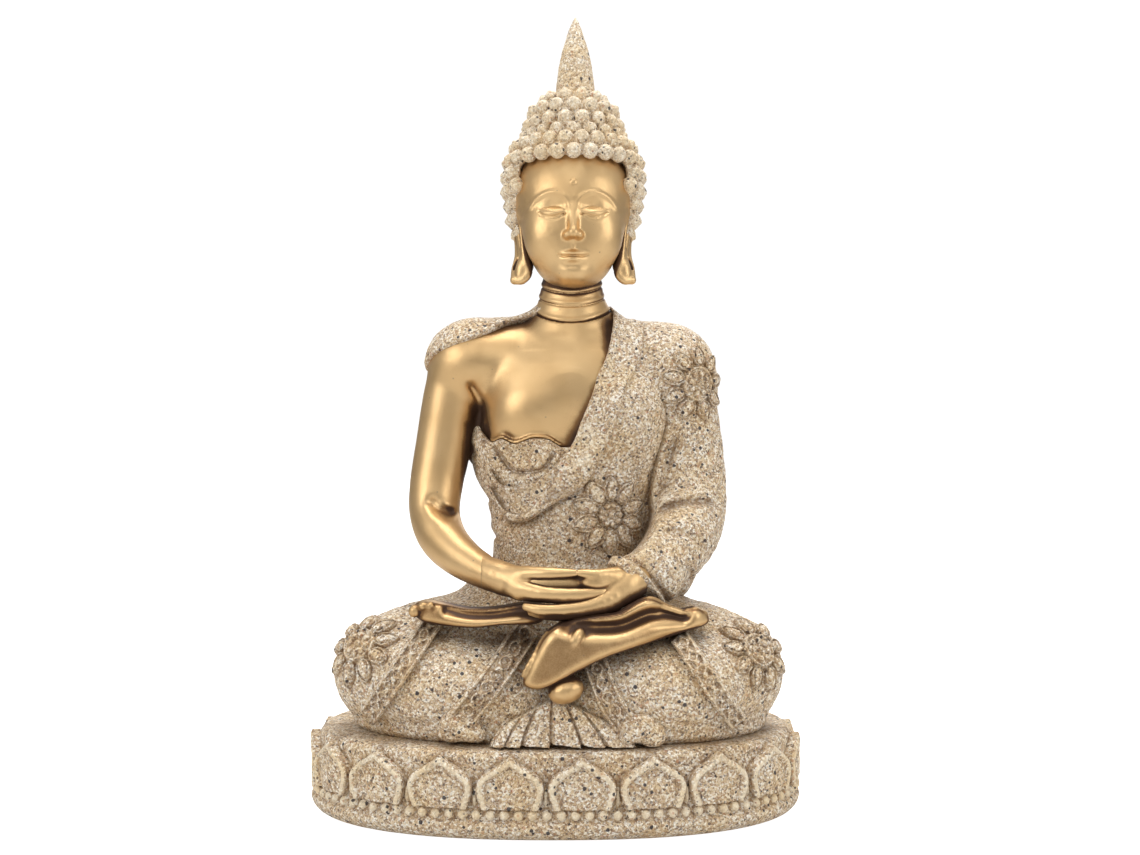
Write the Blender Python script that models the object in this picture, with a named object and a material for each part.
"""Seated meditation statuette on an oval lotus base, as separate glued castings.

Metres, +Z up. The figure faces -Y, and its own right side is at -X. The origin is the
centre of the underside of the base. Organic pieces start as clay: overlapping lumps that
a voxel remesh fuses into one skin. Each piece is then cut back from its neighbours by a
glue gap, so that no two solids touch.
"""

import math

import bmesh
import bpy
from mathutils import Matrix, Vector
from mathutils.bvhtree import BVHTree

MM = 0.001
GAP = 0.4 * MM  # glue line between neighbouring castings

# Driving dimensions
BASE_HALF_WIDTH = 61.0 * MM
BASE_HALF_DEPTH = 39.0 * MM
BASE_HEIGHT = 20.0 * MM
OVAL_POWER = 2.3  # 2 is an ellipse; more is squarer
STATUE_HEIGHT = 202.0 * MM
AXIS_X = 4.6  # the torso and head stand a little to one side of the base's middle
KNEE_MID_X = 0.8
PETALS = 20
PETAL_PHASE = 0.0195  # share of the rim by which the first petal is turned from the front middle
BASE_SIDES = 48

GOLD = "antique_gold"
SAND = "sandstone"
COLOURS = {
    GOLD: dict(colour=(0.58, 0.38, 0.16), roughness=0.34, metallic=0.85),
    SAND: dict(colour=(0.56, 0.46, 0.34), roughness=0.85, metallic=0.0),
}


# ---------------------------------------------------------------- tools


def clear_scene():
    for obj in list(bpy.data.objects):
        bpy.data.objects.remove(obj)


def material(name):
    found = bpy.data.materials.get(name)
    if found:
        return found
    made = bpy.data.materials.new(name)
    made.use_nodes = True
    shader = made.node_tree.nodes["Principled BSDF"]
    look = COLOURS[name]
    shader.inputs["Base Color"].default_value = (*look["colour"], 1.0)
    shader.inputs["Roughness"].default_value = look["roughness"]
    shader.inputs["Metallic"].default_value = look["metallic"]
    return made


def new_object(name, bm, finish=None, smooth=True):
    bmesh.ops.recalc_face_normals(bm, faces=bm.faces[:])
    mesh = bpy.data.meshes.new(name)
    bm.to_mesh(mesh)
    bm.free()
    if smooth:
        mesh.shade_smooth()
    obj = bpy.data.objects.new(name, mesh)
    bpy.context.scene.collection.objects.link(obj)
    if finish:
        mesh.materials.append(material(finish))
    return obj


def hide_helper(obj):
    obj.hide_render = True
    obj.display_type = "WIRE"


def evaluated_mesh(obj):
    bpy.context.view_layer.update()
    graph = bpy.context.evaluated_depsgraph_get()
    return bpy.data.meshes.new_from_object(obj.evaluated_get(graph))


def mm(*values):
    return Vector(values) * MM


# ---------------------------------------------------------------- clay


def ball(x, y, z, rx, ry=None, rz=None):
    """One lump, an ellipsoid. All in millimetres."""
    return [(mm(x, y, z), mm(rx, ry or rx, rz or rx))]


def smooth_line(stations, spacing):
    """Points on a smooth line through stations, each a tuple that ends with a radius.

    They are at most spacing radii apart.
    """
    line = []
    last = len(stations) - 1
    for i in range(last):
        before, start, end, after = (
            Vector(stations[min(max(k, 0), last)]) for k in (i - 1, i, i + 1, i + 2)
        )
        steps = max(2, math.ceil((end - start).length / (spacing * min(start[-1], end[-1]))))
        for k in range(steps + (i == last - 1)):
            t = k / steps
            line.append(
                0.5
                * (
                    2 * start
                    + (end - before) * t
                    + (2 * before - 5 * start + 4 * end - after) * t * t
                    + (3 * start - before - 3 * end + after) * t**3
                )
            )
    return line


def limb(*stations, squash=(1, 1, 1)):
    """Lumps along a smooth line through stations (x, y, z, radius), in millimetres."""
    return [
        (place.xyz * MM, Vector(squash) * place[3] * MM)
        for place in smooth_line(stations, 0.35)
    ]


def grown(lumps, by):
    """The same lumps, each thicker by this many millimetres."""
    return [(centre, radii + mm(by, by, by)) for centre, radii in lumps]


def clay(name, lumps, triangles, voxel=1.0, smooth=4):
    """A hidden helper: the lumps fused into one skin of about this many triangles."""
    bm = bmesh.new()
    for centre, radii in lumps:
        place = Matrix.Translation(centre) @ Matrix.Diagonal((*radii, 1.0))
        bmesh.ops.create_icosphere(bm, subdivisions=2, radius=1.0, matrix=place)
    obj = new_object(name + "_clay", bm)
    skin = obj.modifiers.new("skin", "REMESH")
    skin.mode = "VOXEL"
    skin.voxel_size = voxel * MM
    soften = obj.modifiers.new("soften", "SMOOTH")
    soften.factor = 0.5
    soften.iterations = smooth
    fused = evaluated_mesh(obj)
    fused.calc_loop_triangles()
    thin = obj.modifiers.new("thin", "DECIMATE")
    thin.ratio = min(1.0, triangles / len(fused.loop_triangles))
    hide_helper(obj)
    return obj


def box_helper(name, low, high):
    """A hidden box between two corners, in millimetres."""
    low, high = mm(*low), mm(*high)
    bm = bmesh.new()
    place = Matrix.Translation((low + high) / 2) @ Matrix.Diagonal((*(high - low), 1.0))
    bmesh.ops.create_cube(bm, size=1.0, matrix=place)
    obj = new_object(name, bm, smooth=False)
    hide_helper(obj)
    return obj


def grown_copy(tool):
    """A hidden copy of a helper, thicker all round by the glue gap."""
    name = tool.name + "_grown"
    found = bpy.data.objects.get(name)
    if found:
        return found
    copy = tool.copy()
    copy.name = name
    bpy.context.scene.collection.objects.link(copy)
    swell = copy.modifiers.new("swell", "DISPLACE")
    swell.strength = GAP
    swell.mid_level = 0.0
    hide_helper(copy)
    return copy


def cut(piece, *tools):
    """Takes each tool away from the piece."""
    for tool in tools:
        knife = piece.modifiers.new("cut_" + tool.name, "BOOLEAN")
        knife.operation = "DIFFERENCE"
        knife.solver = "EXACT"
        knife.object = tool


def keep_within(piece, tool):
    knife = piece.modifiers.new("within_" + tool.name, "BOOLEAN")
    knife.operation = "INTERSECT"
    knife.solver = "EXACT"
    knife.object = tool


def cast(name, form, finish, clear_of=(), cutters=(), within=None):
    """A shown piece from a clay form: clear of these forms by the glue gap, and cut."""
    piece = form.copy()
    piece.data = form.data.copy()
    piece.name = name
    bpy.context.scene.collection.objects.link(piece)
    piece.hide_render = False
    piece.display_type = "TEXTURED"
    piece.data.materials.append(material(finish))
    if within:
        keep_within(piece, within)
    cut(piece, *cutters)
    cut(piece, *(grown_copy(other) for other in clear_of))
    return piece


class Surface:
    """Finds points on a form's front."""

    def __init__(self, *forms):
        self.trees = []
        for form in forms:
            mesh = evaluated_mesh(form)
            corners = [v.co.copy() for v in mesh.vertices]
            faces = [list(p.vertices) for p in mesh.polygons]
            self.trees.append(BVHTree.FromPolygons(corners, faces))

    def front(self, x, z):
        """(point, normal) where a line along +Y first meets the forms, x and z in millimetres."""
        start = mm(x, -100, z)
        hits = [tree.ray_cast(start, Vector((0, 1, 0))) for tree in self.trees]
        hits = [hit for hit in hits if hit[0] is not None]
        nearest = min(hits, key=lambda hit: hit[0].y)
        return nearest[0], nearest[1]


# ---------------------------------------------------------------- lotus base


def oval_table(samples=720):
    """Points round the base's rim, from the front middle towards +X, with lengths along it."""
    points = []
    for k in range(samples + 1):
        angle = 2 * math.pi * k / samples - math.pi / 2
        c, s = math.cos(angle), math.sin(angle)
        x = BASE_HALF_WIDTH * math.copysign(abs(c) ** (2 / OVAL_POWER), c)
        y = BASE_HALF_DEPTH * math.copysign(abs(s) ** (2 / OVAL_POWER), s)
        points.append(Vector((x, y)))
    lengths = [0.0]
    for a, b in zip(points, points[1:]):
        lengths.append(lengths[-1] + (b - a).length)
    return points, lengths


OVAL_POINTS, OVAL_LENGTHS = oval_table()
OVAL_ROUND = OVAL_LENGTHS[-1]


def on_oval(share, inset):
    """The point at this share of the rim's length, moved in from the rim by inset."""
    along = (share % 1.0) * OVAL_ROUND
    k = next(i for i, length in enumerate(OVAL_LENGTHS[1:], 1) if length >= along)
    a, b = OVAL_POINTS[k - 1], OVAL_POINTS[k]
    t = (along - OVAL_LENGTHS[k - 1]) / (OVAL_LENGTHS[k] - OVAL_LENGTHS[k - 1])
    tangent = (b - a).normalized()
    outward = Vector((tangent.y, -tangent.x))
    return a.lerp(b, t) - outward * inset


WALL_INSET = 2.0 * MM  # the plain wall behind the petals
BASE_PROFILE = (  # (height, inset from the rim), from the underside up
    (0.0, 2.8 * MM),
    (0.9 * MM, 1.3 * MM),
    (2.4 * MM, 0.3 * MM),
    (4.2 * MM, 0.0),
    (4.9 * MM, 1.0 * MM),
    (6.9 * MM, 1.2 * MM),
    (7.4 * MM, WALL_INSET),
    (18.9 * MM, WALL_INSET),
    (19.6 * MM, 2.3 * MM),
    (BASE_HEIGHT, 3.0 * MM),
)


def lotus_base():
    bm = bmesh.new()
    rings = []
    for height, inset in BASE_PROFILE:
        ring = []
        for k in range(BASE_SIDES):
            spot = on_oval(k / BASE_SIDES, inset)
            ring.append(bm.verts.new((spot.x, spot.y, height)))
        rings.append(ring)
    for low, high in zip(rings, rings[1:]):
        for k in range(BASE_SIDES):
            n = (k + 1) % BASE_SIDES
            bm.faces.new((low[k], low[n], high[n], high[k]))
    bm.faces.new(list(reversed(rings[0])))
    bm.faces.new(rings[-1])
    return new_object("lotus_base", bm, SAND, smooth=False)


PETAL_LOW, PETAL_TIP = 7.9 * MM, 18.9 * MM
PETAL_HALF_WIDTH = 7.5 * MM
PETAL_ROWS, PETAL_COLUMNS = 5, 4


def petal_half_width(t):
    """Half the width at height share t: full sides that draw in to an ogee tip."""
    if t < 0.45:
        return PETAL_HALF_WIDTH * (0.86 + 0.14 * math.sin(math.pi * t / 0.9))
    u = (t - 0.45) / 0.55
    return PETAL_HALF_WIDTH * max(0.04, 1 - 1.25 * u**1.7 + 0.29 * u**3)


def lotus_petal(number):
    """A raised petal that follows the base's wall, with a back face clear of it."""
    middle = PETAL_PHASE + number / PETALS
    bm = bmesh.new()
    sides = []
    for back in (True, False):
        rows = []
        for i in range(PETAL_ROWS + 1):
            t = i / PETAL_ROWS
            height = PETAL_LOW + (PETAL_TIP - PETAL_LOW) * t
            row = []
            for j in range(PETAL_COLUMNS + 1):
                across = 2 * j / PETAL_COLUMNS - 1
                crown = 1.9 * MM - 0.6 * MM * across**2 - 0.4 * MM * t
                stand_off = GAP if back else crown
                share = middle + across * petal_half_width(t) / OVAL_ROUND
                spot = on_oval(share, WALL_INSET - stand_off)
                row.append(bm.verts.new((spot.x, spot.y, height)))
            rows.append(row)
        sides.append(rows)
    back, front = sides
    for i in range(PETAL_ROWS):
        for j in range(PETAL_COLUMNS):
            for rows in sides:
                bm.faces.new((rows[i][j], rows[i][j + 1], rows[i + 1][j + 1], rows[i + 1][j]))
        for j in (0, PETAL_COLUMNS):
            bm.faces.new((back[i][j], back[i + 1][j], front[i + 1][j], front[i][j]))
    for i in (0, PETAL_ROWS):
        for j in range(PETAL_COLUMNS):
            bm.faces.new((back[i][j], back[i][j + 1], front[i][j + 1], front[i][j]))
    return new_object(f"lotus_petal_{number + 1:02d}", bm, SAND)


# ---------------------------------------------------------------- figure


def mirrored(side, x, *rest):
    """A place given for the figure's left leg, put on the side -1 (right) or 1 (left)."""
    return (KNEE_MID_X + side * x, *rest)


def lap_lumps():
    lumps = ball(4, 9, 38, 33, 25, 20) + ball(1, -2, 23, 52, 27, 8.6) + ball(3, 4, 50, 27, 17, 14.4)
    for side in (-1, 1):
        lumps += limb(
            mirrored(side, 16, 8, 38, 15.4),
            mirrored(side, 34, 0, 36, 14.2),
            mirrored(side, 43.6, -7, 34.2, 12.8),
        )
        lumps += limb(
            mirrored(side, 43.2, -8, 31.4, 12.3),
            mirrored(side, 29, -19, 31, 12.8),
            mirrored(side, 12, -19.5, 29.5, 11.6),
            mirrored(side, 2, -15, 28, 11),
        )
    return lumps


TRUNK_LUMPS = (
    ball(AXIS_X - 0.6, 7, 58, 18.6, 13, 18)
    + ball(AXIS_X - 0.4, 6, 72, 18, 12.5, 18)
    + ball(AXIS_X - 1.5, 6, 90, 23, 15, 20)
    + ball(-6, 0.5, 98, 11.5, 12, 11)
    + ball(15, 0.5, 98, 11.5, 12, 11)
    + limb((AXIS_X, 6.5, 113, 13), (AXIS_X, 5.5, 119.6, 9.6))
)
SHOULDER_LUMPS = limb((-19, 6, 110.8, 10.4), (AXIS_X, 6, 109.4, 12.8), (24, 6, 109.2, 10.6))
TORSO_LUMPS = TRUNK_LUMPS + SHOULDER_LUMPS
UPPER_ARM_LUMPS = limb(
    (-23.6, 5.5, 111, 9),
    (-27.0, 5.0, 102, 7.4),
    (-29.0, 4.6, 90, 7.0),
    (-31.0, 3.0, 80, 6.4),
    (-31.4, 1.6, 75.6, 6.2),
)
FOREARM_LUMPS = limb(
    (-31.5, 0.8, 72.6, 6.0),
    (-28.8, -4.5, 67.0, 5.6),
    (-24.2, -10.5, 62.6, 5.0),
    (-18.0, -17.0, 59.0, 4.3),
    (-12.4, -21.0, 57.2, 3.7),
)
SLEEVE_LUMPS = (
    limb(
        (28.8, 6, 108.4, 12.4),
        (32.4, 5.5, 97, 9.8),
        (34.0, 5, 85, 9.6),
        (34.2, 2.5, 74, 9.6),
        (31.2, -6, 66.5, 9.0),
        (25.0, -15, 61.5, 7.7),
        (20.8, -19.4, 59.0, 6.9),
    )
    + ball(32, 4, 60, 8, 9, 12)
    + ball(26, 5, 76, 8, 7, 16)
)
NECK_LUMPS = limb((4.4, 4.6, 121.6, 9.8), (4.0, 3.6, 126.5, 8.6), (4.2, 3.4, 135, 8.6))
HEAD_LUMPS = (
    ball(4.4, 3.2, 154.5, 13.2, 15.4, 14.5)
    + ball(4.4, -0.6, 143.5, 11.6, 12.6, 14.8)
    + ball(4.4, 2.0, 146, 12.6, 11, 14)
)
HAIR_LUMPS = (
    ball(4.5, 4.6, 157.5, 19, 19, 13.5)
    + ball(4.5, 4.8, 164, 17.8, 17.8, 9.5)
    + ball(4.4, 6.6, 149, 16.4, 16.4, 12)
)
USHNISHA_LUMPS = ball(4.5, 4.2, 173, 12.6, 12.6, 10.6)
FLAME_X, FLAME_Y = 5.0, 4.2
FLAME_STATIONS = (  # (height, radius) of the flame that stands on the crown
    (182.6, 5.9),
    (184.4, 5.4),
    (188.0, 4.8),
    (192.0, 4.1),
    (196.0, 2.9),
    (199.4, 1.8),
    (201.4, 0.9),
    (STATUE_HEIGHT / MM, 0.15),
)
RIGHT_FOOT_LUMPS = limb(
    (-3.0, -31.5, 38.6, 5.8),
    (6.0, -30.5, 41.8, 5.7),
    (17.0, -28.0, 45.2, 5.4),
    (28.0, -24.0, 47.4, 4.2),
    (36.4, -20.6, 47.2, 2.6),
)
LEFT_FOOT_LUMPS = limb(
    (-4.6, -26.0, 47.4, 4.2),
    (-13.0, -25.0, 48.4, 3.7),
    (-23.0, -22.4, 48.4, 3.6),
    (-30.0, -20.0, 49.0, 3.1),
    (-34.0, -18.4, 50.0, 2.6),
)
HEEL_LUMPS = ball(2.4, -32.4, 33.6, 4.6, 4.0, 4.2)
RIGHT_HAND_LUMPS = (
    limb((-10.5, -22.4, 56.6, 3.4), (-4.0, -25.6, 55.6, 3.5))
    + limb((-4.0, -22.6, 55.4, 2.6), (10.4, -22.2, 55.4, 1.9))
    + limb((-4.0, -25.6, 55.0, 2.6), (11.6, -26.4, 54.8, 1.9))
    + limb((-3.0, -28.4, 54.8, 2.4), (10.4, -29.4, 54.4, 1.8))
    + limb((-8.6, -26.4, 57.2, 2.4), (-3.4, -28.0, 59.4, 1.9), (4.2, -28.0, 60.0, 1.6))
)
LEFT_HAND_LUMPS = (
    limb((20.4, -20.4, 56.6, 4.0), (14.6, -24.4, 54.2, 3.8))
    + limb((12.0, -24.0, 51.4, 3.2), (-6.6, -24.6, 50.8, 2.2))
    + limb((12.0, -27.4, 51.2, 3.2), (-7.6, -28.2, 50.8, 2.1))
    + limb((12.0, -30.4, 51.4, 2.7), (-5.6, -31.4, 51.0, 2.0))
    + limb((17.0, -26.0, 57.2, 2.8), (11.6, -27.8, 59.4, 2.1), (6.9, -28.0, 60.0, 1.6))
)


def ear_lumps(side):
    """A long-lobed ear. The side is -1 for the figure's right."""
    middle = 4.4
    stations = (
        (middle + side * 13.2, 3.6, 155.0, 2.0),
        (middle + side * 14.0, 4.0, 149.0, 2.3),
        (middle + side * 13.4, 2.6, 142.0, 1.9),
        (middle + side * 13.0, 1.2, 136.0, 2.2),
        (middle + side * 13.8, 0.8, 132.2, 1.9),
    )
    return limb(*stations, squash=(0.8, 1.25, 1.1))


def on_surface(surface, places, depth):
    """Lumps along a line of (x, z, radius) on a form's front, each this deep below its skin."""
    lumps = []
    for x, z, radius in smooth_line(places, 0.3):
        point, normal = surface.front(x, z)
        lumps.append((point - normal * depth * MM, mm(radius, radius, radius)))
    return lumps


def flower_form(name, surface, x, z, radius, triangles=260):
    """A shallow domed medallion centred on a form's front."""
    point, normal = surface.front(x, z)
    bm = bmesh.new()
    turn = normal.to_track_quat("Z", "Y").to_matrix().to_4x4()
    size = Matrix.Diagonal((radius * MM, radius * MM, 2.6 * MM, 1.0))
    bmesh.ops.create_icosphere(
        bm, subdivisions=3, radius=1.0, matrix=Matrix.Translation(point) @ turn @ size
    )
    obj = new_object(name + "_clay", bm)
    thin = obj.modifiers.new("thin", "DECIMATE")
    thin.ratio = triangles / 1280
    hide_helper(obj)
    return obj


def hair_flame():
    """A turned flame, closed at its foot and its tip."""
    bm = bmesh.new()
    sides = 12
    rings = []
    for height, radius in FLAME_STATIONS:
        lean = 0.25 * math.sin((height - 182) / 6)
        ring = []
        for k in range(sides):
            angle = 2 * math.pi * k / sides
            x = FLAME_X + lean + radius * math.cos(angle)
            ring.append(bm.verts.new(mm(x, FLAME_Y + radius * math.sin(angle), height)))
        rings.append(ring)
    for low, high in zip(rings, rings[1:]):
        for k in range(sides):
            n = (k + 1) % sides
            bm.faces.new((low[k], low[n], high[n], high[k]))
    bm.faces.new(list(reversed(rings[0])))
    bm.faces.new(rings[-1])
    return new_object("hair_flame", bm, SAND)


FAN_PLEATS = 8
FAN_MIDDLE_X, FAN_REACH = 0.4, 16.4
FAN_LOW, FAN_HIGH = 20.5, 31.0


def robe_fan_form():
    """A half-round fan of pleats that hangs between the shins, down to the base."""
    bm = bmesh.new()
    rows = [[], [], [], []]  # foot in front, top in front, top behind, foot behind
    for k in range(2 * FAN_PLEATS + 1):
        angle = math.pi * k / (2 * FAN_PLEATS)
        fold = 0.7 * (k % 2)
        out = math.cos(angle)
        x = FAN_MIDDLE_X - FAN_REACH * out
        top_x = FAN_MIDDLE_X - 0.45 * FAN_REACH * out
        top_z = FAN_LOW + 2.6 + (FAN_HIGH - FAN_LOW - 2.6) * math.sin(angle)
        rows[0].append(bm.verts.new(mm(x, -35.6 + fold, FAN_LOW)))
        rows[1].append(bm.verts.new(mm(top_x, -32.6 + 0.5 * fold, top_z)))
        rows[2].append(bm.verts.new(mm(top_x, -22, top_z)))
        rows[3].append(bm.verts.new(mm(x, -22, FAN_LOW)))
    for low, high in zip(rows, rows[1:] + rows[:1]):
        for k in range(2 * FAN_PLEATS):
            bm.faces.new((low[k], low[k + 1], high[k + 1], high[k]))
    for k in (0, -1):
        bm.faces.new([row[k] for row in rows])
    obj = new_object("robe_fan_clay", bm)
    hide_helper(obj)
    return obj


# ---------------------------------------------------------------- build

EARS = (("right_ear", -1), ("left_ear", 1))
# The robe leaves the right breast and shoulder bare in front of this prism's back face.
NECKLINE = ((15.5, 140), (15.0, 122), (5.2, 91), (1, 83), (-9, 79.5), (-19, 84), (-60, 84), (-60, 140))
CHEST_CLOTH_EDGE = ((4.4, 91.4), (0.4, 83.6), (-9, 80.3), (-17.4, 84), (-17.6, 91.8), (-7, 89.8))
BARE_BACK = -3.5  # how far back the bare part reaches
SASH_PATH = (
    (21.5, 116, 4.4),
    (17.0, 106, 4.7),
    (11.4, 94, 4.8),
    (5.4, 83, 4.8),
    (-2.6, 75.2, 4.6),
    (-9.6, 73.6, 4.4),
    (-13.2, 78.0, 4.2),
)
BANDS = {  # name: places (x, z, radius) down the lap
    "right_outer_band": ((-29.5, 43, 3), (-35, 37, 3.1), (-40.6, 30, 3.1), (-43.6, 24.6, 3)),
    "right_inner_band": ((-9.4, 37.6, 2.9), (-13, 33, 3), (-17.6, 27.6, 3.1), (-22, 23.6, 3.1)),
    "left_inner_band": ((12.2, 33.6, 2.9), (14.6, 30.6, 3), (18.6, 26.6, 3.1), (22.8, 23.4, 3.1)),
    "left_outer_band": ((36.4, 40.2, 3), (39.4, 36, 3.1), (43, 30, 3.1), (45.2, 24.8, 3)),
}
BAND_DEPTH = 1.7
FLOWERS = {  # name: (x, z, radius)
    "belly_flower": (12.2, 72.4, 9.2),
    "shoulder_flower": (35.6, 105.4, 8.4),
    "right_knee_flower": (-47.4, 41.2, 7.8),
    "left_knee_flower": (48.0, 39.8, 7.8),
}


def prism(name, outline, front, back):
    """A hidden helper: an outline of (x, z) drawn through y from front to back, in millimetres."""
    bm = bmesh.new()
    near = [bm.verts.new(mm(x, front, z)) for x, z in outline]
    far = [bm.verts.new(mm(x, back, z)) for x, z in outline]
    bm.faces.new(near)
    bm.faces.new(far)
    for k in range(len(outline)):
        n = (k + 1) % len(outline)
        bm.faces.new((near[k], near[n], far[n], far[k]))
    obj = new_object(name, bm, smooth=False)
    hide_helper(obj)
    return obj


def robe_lumps():
    """The torso a cloth's thickness larger, with its shoulders ended inside the arms."""
    shoulders = limb((-18.4, 6, 110.8, 10.4), (AXIS_X, 6, 109.4, 12.8), (20, 6, 109.8, 10.8))
    return grown(TRUNK_LUMPS + shoulders, 2.0)


def add_base():
    lotus_base()
    for number in range(PETALS):
        lotus_petal(number)


def add_lap():
    """The robed legs, with what is laid on them."""
    ground = box_helper("ground", (-80, -60, -10), (80, 60, 20.4))
    lap = clay("lap_robe", lap_lumps(), 1000, voxel=1.2, smooth=8)
    cast("lap_robe", lap, SAND, cutters=[ground])
    skin = Surface(lap)
    fan = robe_fan_form()
    cast("robe_fan", fan, SAND, clear_of=[lap])

    right_foot = clay("right_foot", RIGHT_FOOT_LUMPS, 240, voxel=0.7)
    left_foot = clay("left_foot", LEFT_FOOT_LUMPS, 220, voxel=0.7)
    heel = clay("left_heel", HEEL_LUMPS, 120, voxel=0.7)
    cast("right_foot", right_foot, GOLD, clear_of=[lap])
    cast("left_foot", left_foot, GOLD, clear_of=[lap, right_foot])
    cast("left_heel", heel, GOLD, clear_of=[lap, right_foot, fan])
    for name, places in BANDS.items():
        strip = clay(name, on_surface(skin, places, BAND_DEPTH), 170, voxel=0.9)
        cast(name, strip, SAND, clear_of=[lap, right_foot, left_foot, fan], cutters=[ground])
    for name in ("right_knee_flower", "left_knee_flower"):
        flower = flower_form(name, skin, *FLOWERS[name])
        cast(name, flower, SAND, clear_of=[lap])
    return lap, right_foot, left_foot


def add_hands(lap, feet):
    left = clay("left_hand", LEFT_HAND_LUMPS, 340, voxel=0.5, smooth=3)
    right = clay("right_hand", RIGHT_HAND_LUMPS, 340, voxel=0.5, smooth=3)
    cast("left_hand", left, GOLD, clear_of=[lap, *feet])
    cast("right_hand", right, GOLD, clear_of=[lap, *feet, left])
    return left, right


def add_trunk(lap, feet, hands):
    """The bare torso, the arms, and the cloth over them."""
    left_hand, right_hand = hands
    torso = clay("torso", TORSO_LUMPS, 520, smooth=8)
    upper_arm = clay("right_upper_arm", UPPER_ARM_LUMPS, 260, voxel=0.8)
    forearm = clay("right_forearm", FOREARM_LUMPS, 260, voxel=0.8)
    sleeve = clay("left_sleeve", SLEEVE_LUMPS, 460, smooth=8)
    neck = clay("neck", NECK_LUMPS, 220, voxel=0.8)
    robe = clay("torso_robe", robe_lumps(), 640, smooth=6)

    cast("torso", torso, GOLD, clear_of=[lap])
    cast("right_upper_arm", upper_arm, GOLD, clear_of=[torso])
    cast("right_forearm", forearm, GOLD, clear_of=[upper_arm, right_hand, *feet, lap])
    cast("left_sleeve", sleeve, SAND, clear_of=[torso, left_hand, right_hand, *feet, lap])

    opening = prism("neckline", NECKLINE, -60, BARE_BACK)
    window = prism("chest_cloth_edge", CHEST_CLOTH_EDGE, -60, BARE_BACK)
    under = [torso, lap, upper_arm, sleeve, neck]
    cast("torso_robe", robe, SAND, clear_of=under, cutters=[opening])
    cast("chest_cloth", robe, SAND, clear_of=[torso, upper_arm], within=window)
    skin = Surface(robe)
    sash = clay("shoulder_sash", on_surface(skin, SASH_PATH, 3.2), 320, voxel=0.9)
    cast("shoulder_sash", sash, SAND, clear_of=[robe, upper_arm, sleeve])
    for name, surface in (("belly_flower", skin), ("shoulder_flower", Surface(sleeve))):
        flower = flower_form(name, surface, *FLOWERS[name])
        cast(name, flower, SAND, clear_of=[robe, sleeve, sash])
    return torso, neck


def add_head(torso, neck):
    head = clay("head", HEAD_LUMPS, 460, voxel=0.8)
    hair = clay("hair_cap", HAIR_LUMPS, 420, voxel=0.9)
    ushnisha = clay("ushnisha", USHNISHA_LUMPS, 260, voxel=0.9)
    face_gap = clay("face_gap", ball(4.4, -15, 147.6, 12.6, 16, 13.4), 240)
    ears = [clay(name, ear_lumps(side), 140, voxel=0.5) for name, side in EARS]
    cast("neck", neck, GOLD, clear_of=[torso, head])
    cast("head", head, GOLD)
    for name, ear in zip((name for name, _ in EARS), ears):
        cast(name, ear, GOLD, clear_of=[head])
    cast("hair_cap", hair, SAND, clear_of=[head, *ears, neck], cutters=[face_gap])
    flame = hair_flame()
    cut(flame, grown_copy(ushnisha))
    cast("ushnisha", ushnisha, SAND, clear_of=[hair, head])


def build():
    clear_scene()
    add_base()
    lap, *feet = add_lap()
    hands = add_hands(lap, feet)
    add_head(*add_trunk(lap, feet, hands))


build()
